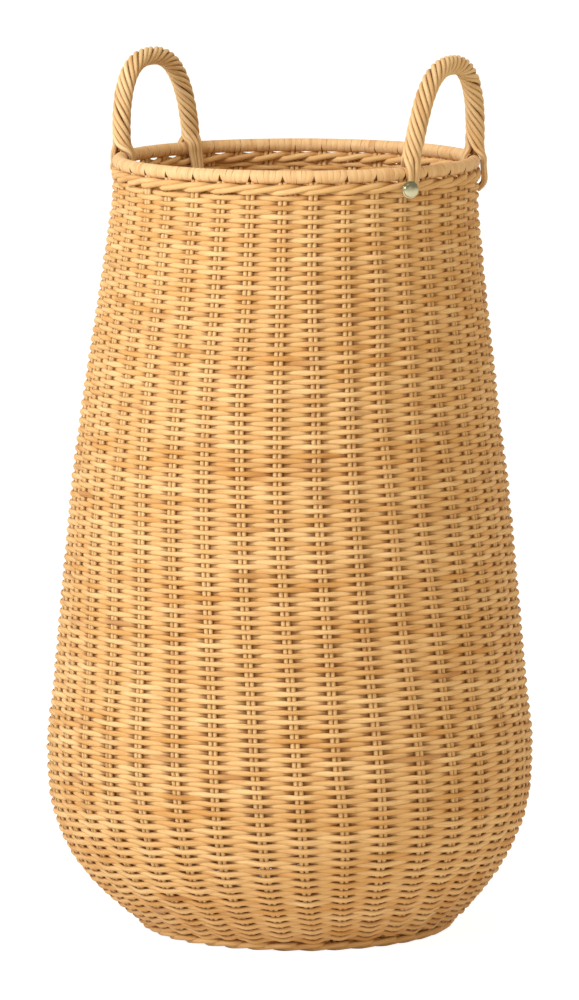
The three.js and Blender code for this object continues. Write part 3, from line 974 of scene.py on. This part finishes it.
# %% Lay the rods round the bow
def roped(name):
    """The eight rods of a handle, and its bow."""
    handle = handles[name]
    line = arch(handle)
    along = unit(np.gradient(line, axis=0))
    out = unit(np.array([1.0, 0, 0]) - along * along[:, :1])
    across = np.cross(along, out)
    length = np.arange(len(line)) * arch_step
    rope_radius = (handle["bow"] + handle["rod"]) / 2
    turn = -math.tan(lay_angle) / rope_radius * (length - length[-1] / 2)
    kept = np.nonzero(line[:, 2] > rim_height + part_rise)[0][::rope_sample]
    strands = []
    for number in range(rope_rods):
        drift = along_drift(lay_places, lay_jitter, np.linspace(0, lay_places, len(line)))
        angle = math.tau * number / rope_rods + turn + drift
        offset = np.cos(angle)[:, None] * out + np.sin(angle)[:, None] * across
        strands.append({
            "rope": np.hstack([line + rope_radius * offset, offset])[kept], "angle": angle[kept],
        })
    for leg, index, way in ((0, 0, 1), (1, -1, -1)):
        azimuth = way * handle["half_span"] * spacing
        way_out = np.array([math.cos(azimuth), math.sin(azimuth), 0])
        way_across = np.array([-math.sin(azimuth), math.cos(azimuth), 0])
        drop, lifted, outer_fan, leg_inner_fan = legs[name, leg]
        for strand in strands:
            ahead = strand["angle"][index] + way * parting_turn
            strand["ahead"] = (
                math.cos(ahead) * out[kept][index] + math.sin(ahead) * across[kept][index]
            )
        strands.sort(key=lambda strand: strand["ahead"] @ way_out)
        half = rope_rods // 2
        for side, group in ((-1, strands[:half]), (1, strands[half:])):
            group.sort(key=lambda strand: strand["ahead"] @ way_across)
            for place, strand in enumerate(group):
                strand[leg] = tail(
                    way_out,
                    way_across,
                    side,
                    place - (half - 1) / 2,
                    handle["rod"],
                    (drop if side > 0 else inner_drop) * chance.uniform(*end_length),
                    lifted * (place % 2),
                    outer_fan if side > 0 else leg_inner_fan,
                )
    azimuth = handle["middle"] * spacing
    turned = np.array([
        [math.cos(azimuth), math.sin(azimuth), 0],
        [-math.sin(azimuth), math.cos(azimuth), 0],
        [0, 0, 1],
    ])
    rods = []
    for strand in strands:
        path = soft_path([*strand[0][::-1], *strand["rope"], *strand[1]], tail_step)
        rods.append(rod(
            path[:, :3] @ turned,
            path[:, 3:] @ turned,
            handle["rod"] / 2 * chance.uniform(*rope_swell),
            chance.uniform(0, 1),
        ))
    inside = line[line[:, 2] > rim_height + binding_radius][::rope_sample]
    bow = rod(inside @ turned, turned[0], handle["bow"] / 2, 0.5)
    return rods, bow


for name in handles:
    rods, bow = roped(name)
    rope = rods_piece(f"{name}_roped_rods", rods, rope_sides)
    hand_over(rope, "handle_rattan", f"{name}_rope")
    thick = rods_piece(f"{name}_thick_bow", [bow], thick_sides)
    hand_over(thick, "hoop_rattan", f"{name}_bow")

# %% [markdown]
# The bottom starts as two bundles of six rods that cross. Their ends are fanned out into 24
# spokes. Two weavers chase each other round the spokes, because their number is even, and a
# single one goes on round the stake pairs, because their number is odd. It goes out to the foot,
# so that the bottom is closed all over.

# %% Weave the base
spoke_low, spoke_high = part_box("base_sticks_lower")
upper_low, upper_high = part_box("base_sticks_upper")
spoke_reach = max(spoke_high.x, spoke_high.y)
bundle = 6
spoke_angle = math.radians(15)
fan_start = 13 * mm
fan_end = 30 * mm
spokes_from = 27 * mm
spokes_to = 96.5 * mm
stakes_from = 95 * mm
stakes_to = foot_radius + 1.5 * mm
base_reach = (stake_rod + weaver_rod) / 2
base_wide = 1.38
base_wander = 0.2 * mm
base_sides = 8
base_steps = 6
spoke_size = 0.98
spoke_step = 3 * mm
fanned_share = 0.6


def fanned(level, quarter):
    """The six rods of a bundle, side by side in the middle and fanned out at both ends."""
    made = []
    fanned_reach = spoke_reach * fanned_share
    for number in range(bundle):
        place = number - (bundle - 1) / 2
        angle = place * spoke_angle
        half = [
            [fan_start, place * stake_rod, level],
            [fan_end * math.cos(angle), fan_end * math.sin(angle), (level + base_middle) / 2],
            [fanned_reach * math.cos(angle), fanned_reach * math.sin(angle), base_middle],
            [spoke_reach * math.cos(angle), spoke_reach * math.sin(angle), base_middle],
        ]
        points = [[-x, y, z] for x, y, z in half[::-1]] + [[0, place * stake_rod, level]] + half
        path = soft_path(points, spoke_step)
        if quarter:
            path = path[:, [1, 0, 2]] * [-1, 1, 1]
        made.append(rod(path, [0, 0, -1], stake_rod / 2 * spoke_size, chance.uniform(0, 1)))
    return made


def base_spiral(start, end, pitch, bays_around, bay_angles, phase, begin):
    """One weaver that winds outwards, over and under what it passes."""
    turns_around = (end - start) / pitch
    places = np.arange(int(turns_around * bays_around * base_steps))
    bays = begin * bays_around + places / base_steps
    radius = start + (bays / bays_around - begin) * pitch
    azimuth = bay_angles(bays)
    level = base_middle + base_reach * over_and_under(bays + phase)
    radius = radius + along_drift(int(bays[-1]), base_wander, bays)
    path = around(radius, level, azimuth)
    return rod(path, [0, 0, -1], weaver_rod / 2, chance.uniform(0, 1), base_wide)


# %% Put the base together
for name, low, high in (("lower", spoke_low, spoke_high), ("upper", upper_low, upper_high)):
    rods = fanned((low.z + high.z) / 2, name == "upper")
    piece = rods_piece(f"base_spokes_{name}", rods, base_sides)
    hand_over(piece, "base_rattan", f"base_sticks_{name}")
spokes = 4 * bundle
first_spoke = -(bundle - 1) / 2 * spoke_angle
base_rods = [
    base_spiral(
        spokes_from, spokes_to, 2 * row_pitch, spokes,
        lambda bays: first_spoke + bays * math.tau / spokes, phase, phase / 2,
    )
    for phase in (0, 1)
]
base_rods.append(base_spiral(
    stakes_from, stakes_to, row_pitch, stake_pairs,
    lambda bays: pair_azimuth(bays, base_middle), 0, 0,
))
hand_over(rods_piece("base_weave_rods", base_rods, base_sides), "base_rattan", "base_weave")

# %% [markdown]
# The stud is a domed brass head with a thin lip, on a nail that holds the handle's loose ends to
# the band under the rim. A flat disc is made first. Its face is inset and raised again and again,
# a little less each time, which rounds it into a dome. It stands on the loose ends, a little
# aside of the leg, and is turned a little askew. The nail is a cone that goes into the rods.

# %% Set the brass stud
stud_low, stud_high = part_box("brass_stud")
stud_azimuth = math.atan2(stud_low.y + stud_high.y, stud_low.x + stud_high.x)
stud_height = (stud_low.z + stud_high.z) / 2
stud_radius = (stud_high.z - stud_low.z) / 2
stud_lip = 1.2 * mm
stud_dome = 2.9 * mm
dome_rings = 7
dome_share = 0.94
up_enough = 0.9
lip_share = 0.12
nail_radius = 1.2 * mm
nail_length = 8.2 * mm
nail_tip = 0.2 * mm
stud_rounding = 0.3 * mm
stud_off = 1.2 * mm
stud_face = neck_radius + wale_half + handles["right_handle"]["rod"] + stud_off
stud_turn = math.radians(-14)

deselect_all()
bpy.ops.mesh.primitive_cylinder_add(
    vertices=64, radius=stud_radius, depth=stud_lip, location=(0, 0, stud_lip / 2)
)
stud = bpy.context.object
stud.name = "brass_stud_head"
bpy.ops.object.transform_apply(location=True, rotation=True, scale=True)
bpy.ops.object.mode_set(mode="EDIT")
bpy.ops.mesh.select_mode(type="FACE")
bpy.ops.mesh.select_all(action="DESELECT")
bpy.ops.object.mode_set(mode="OBJECT")
for face in stud.data.polygons:
    face.select = face.normal.z > up_enough
dome_radius = stud_radius * (1 - lip_share)
angles = np.linspace(0, math.pi / 2 * dome_share, dome_rings + 1)
radii = dome_radius * np.cos(angles)
rises = stud_dome * np.sin(angles)
bpy.ops.object.mode_set(mode="EDIT")
bpy.ops.mesh.inset(thickness=stud_radius * lip_share, depth=0)
for ring in range(dome_rings):
    bpy.ops.mesh.inset(
        thickness=float(radii[ring] - radii[ring + 1]),
        depth=float(rises[ring + 1] - rises[ring]),
    )
bpy.ops.object.mode_set(mode="OBJECT")
edge = stud.modifiers.new("edge", "BEVEL")
edge.width = stud_rounding
edge.segments = 3
edge.angle_limit = math.radians(60)
bpy.ops.object.modifier_apply(modifier=edge.name)
bpy.ops.mesh.primitive_cone_add(
    vertices=16,
    radius1=nail_tip,
    radius2=nail_radius,
    depth=nail_length,
    location=(0, 0, -nail_length / 2 + stud_lip / 2),
)
stud.select_set(True)
bpy.context.view_layer.objects.active = stud
bpy.ops.object.join()
bpy.ops.transform.rotate(value=-math.pi / 2, orient_axis="Y", center_override=(0, 0, 0))
bpy.ops.transform.rotate(
    value=-stud_azimuth - stud_turn, orient_axis="Z", center_override=(0, 0, 0)
)
bpy.ops.transform.translate(value=(
    stud_face * math.cos(stud_azimuth), stud_face * math.sin(stud_azimuth), stud_height
))
bpy.ops.object.transform_apply(location=True, rotation=True, scale=True)
bpy.ops.object.shade_smooth_by_angle(angle=math.radians(35))
stud_points = np.array([vertex.co for vertex in stud.data.vertices])
print("stud from", np.round(stud_points.min(0), 4), "to", np.round(stud_points.max(0), 4))

# %% [markdown]
# Brass is a metal, so its colour is in what it reflects. This one is pale and polished, and its
# upper part is painted darker, a painted reflection of something dark. A noise moves the border
# between the two.

# %% Mix the brass
brass_roughness = 0.2
dark_reflection_from, dark_reflection_to = -0.5 * mm, 5 * mm
dark_reflection_wander = 3 * mm
dark_reflection_waves = (260, 260, 260)
brass = bpy.data.materials.new("pale_brass")
brass.use_nodes = True
tree = brass.node_tree
place = add_node(tree, "ShaderNodeTexCoord").outputs["Object"]
level = add_node(tree, "ShaderNodeSeparateXYZ", {0: place}).outputs["Z"]
uneven = add_noise(tree, place, dark_reflection_waves)
level = add_math(tree, "ADD", level, add_math(tree, "MULTIPLY", uneven, dark_reflection_wander))
dark_reflection_share = add_range(tree, level, stud_height + dark_reflection_from, stud_height + dark_reflection_to)
# Painted reflection: the upper part of the head is mixed to a dark olive.
metal = add_mix(tree, dark_reflection_share, srgb(194, 188, 154), srgb(112, 109, 82))
brass_shader = tree.nodes["Principled BSDF"]
tree.links.new(metal, brass_shader.inputs["Base Color"])
brass_shader.inputs["Metallic"].default_value = 1.0
brass_shader.inputs["Roughness"].default_value = brass_roughness
finishes["stud_brass"] = brass
hand_over(stud, "stud_brass", "brass_stud")
print("brass", len(tree.nodes), "nodes")

# %% [markdown]
# The photograph's background is plain white. A large floor catches the soft shadow. Floor and
# world are white where they are seen, and the floor is clear from below.

# %% Lay the floor
floor_size = 80
floor_white = 0.9
shown_diffuse = 0.4
shown_glow = 0.92


def shown_share(tree):
    """1 for the rays that the eye sees, straight or by reflection, and 0 for the others."""
    path = add_node(tree, "ShaderNodeLightPath").outputs
    glossy = add_math(tree, "MAXIMUM", path["Is Camera Ray"], path["Is Glossy Ray"])
    return add_math(tree, "MAXIMUM", glossy, path["Is Transmission Ray"])


deselect_all()
bpy.ops.mesh.primitive_plane_add(size=floor_size)
floor = bpy.context.object
floor.name = "studio_floor"
paint = bpy.data.materials.new("studio_white")
paint.use_nodes = True
tree = paint.node_tree
tree.nodes.clear()
plain, dim = (
    add_node(tree, "ShaderNodeBsdfDiffuse", {"Color": (grey, grey, grey, 1)}).outputs[0]
    for grey in (floor_white, shown_diffuse)
)
glow = add_node(tree, "ShaderNodeEmission", {"Strength": shown_glow}).outputs[0]
shown = add_node(tree, "ShaderNodeAddShader", {0: dim, 1: glow}).outputs[0]
clear = add_node(tree, "ShaderNodeBsdfTransparent").outputs[0]
lit = add_node(
    tree, "ShaderNodeMixShader", {0: shown_share(tree), 1: plain, 2: shown}
).outputs[0]
under = add_node(tree, "ShaderNodeNewGeometry").outputs["Backfacing"]
both = add_node(tree, "ShaderNodeMixShader", {0: under, 1: lit, 2: clear}).outputs[0]
add_node(tree, "ShaderNodeOutputMaterial", {"Surface": both})
floor.data.materials.append(paint)
print("floor", floor_size, "metres wide")

# %% [markdown]
# The key light is a big soft one, high at the front left, so that the right side of the basket is
# deeper in tone. A weak one from above lights the rim and the upper sides of the rods. A weak
# warm one from the right, and a warm tint of what comes from all round, keep the far side golden,
# as light that has gone from rattan to rattan is.

# %% Light the scene
ambient = 0.6
ambient_tint = (1.0, 0.82, 0.55)
warm = (1.0, 0.79, 0.53)
world = bpy.data.worlds.new("studio_world")
bpy.context.scene.world = world
world.use_nodes = True
sky = world.node_tree
sky.nodes.clear()
strength = add_node(
    sky,
    "ShaderNodeMapRange",
    {"Value": shown_share(sky), "To Min": ambient, "To Max": 1.0},
).outputs["Result"]
tint = add_mix(sky, shown_share(sky), (*ambient_tint, 1), (1, 1, 1, 1))
background = add_node(sky, "ShaderNodeBackground", {"Color": tint, "Strength": strength})
add_node(sky, "ShaderNodeOutputWorld", {"Surface": background.outputs[0]})


def area_light(name, azimuth, elevation, distance, size, power, colour=(1, 1, 1)):
    """A soft light that looks at the middle of the basket."""
    azimuth, elevation = math.radians(azimuth), math.radians(elevation)
    place = (
        distance * math.cos(elevation) * math.cos(azimuth),
        distance * math.cos(elevation) * math.sin(azimuth),
        rim_height / 2 + distance * math.sin(elevation),
    )
    bpy.ops.object.light_add(
        type="AREA", location=place, rotation=(math.pi / 2 - elevation, 0, azimuth + math.pi / 2)
    )
    light = bpy.context.object
    light.name = name
    light.data.shape = "DISK"
    light.data.size = size
    light.data.energy = power
    light.data.color = colour


area_light("key_light", azimuth=-112, elevation=32, distance=2.6, size=1.1, power=40)
area_light("top_light", azimuth=-80, elevation=66, distance=2.6, size=1.2, power=7)
area_light("fill_light", azimuth=-35, elevation=20, distance=3.4, size=1.6, power=4, colour=warm)
print("lights", [round(light.energy) for light in bpy.data.lights], "watts")
